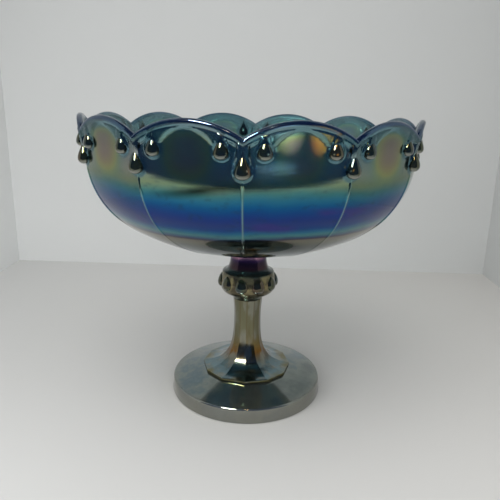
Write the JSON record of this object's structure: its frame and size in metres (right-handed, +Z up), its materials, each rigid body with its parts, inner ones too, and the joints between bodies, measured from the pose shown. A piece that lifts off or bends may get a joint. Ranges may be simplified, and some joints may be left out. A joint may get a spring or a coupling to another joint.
{
  "type": "footed glass bowl",
  "caption": "Footed fruit bowl of iridescent pressed glass: a scalloped, panelled bowl edged with hanging drops, on a knopped and faceted stem over a round hollow foot.",
  "frame": {"origin": "centre of the foot's resting ring, on the surface it stands on", "axes": "+Z up along the bowl's axis; one crease of the bowl and one corner of the stem point along -Y"},
  "size_m": [0.2162, 0.2162, 0.1886],
  "materials": {
    "bowl_glass": "dark teal pressed glass with an iridescent blue, violet, green and gold lustre, glossy, slightly see-through",
    "knop_glass": "dark glass with an olive-gold lustre below the ledge and a violet one on the neck, glossy",
    "stem_glass": "dark glass with a grey-olive metallic lustre, glossy",
    "foot_glass": "dark glass with a grey-teal metallic lustre, glossy"
  },
  "bodies": {
    "root": {"foot": "foot_glass", "stem": "stem_glass", "knop": "knop_glass", "bowl": "bowl_glass"}
  },
  "joints": []
}
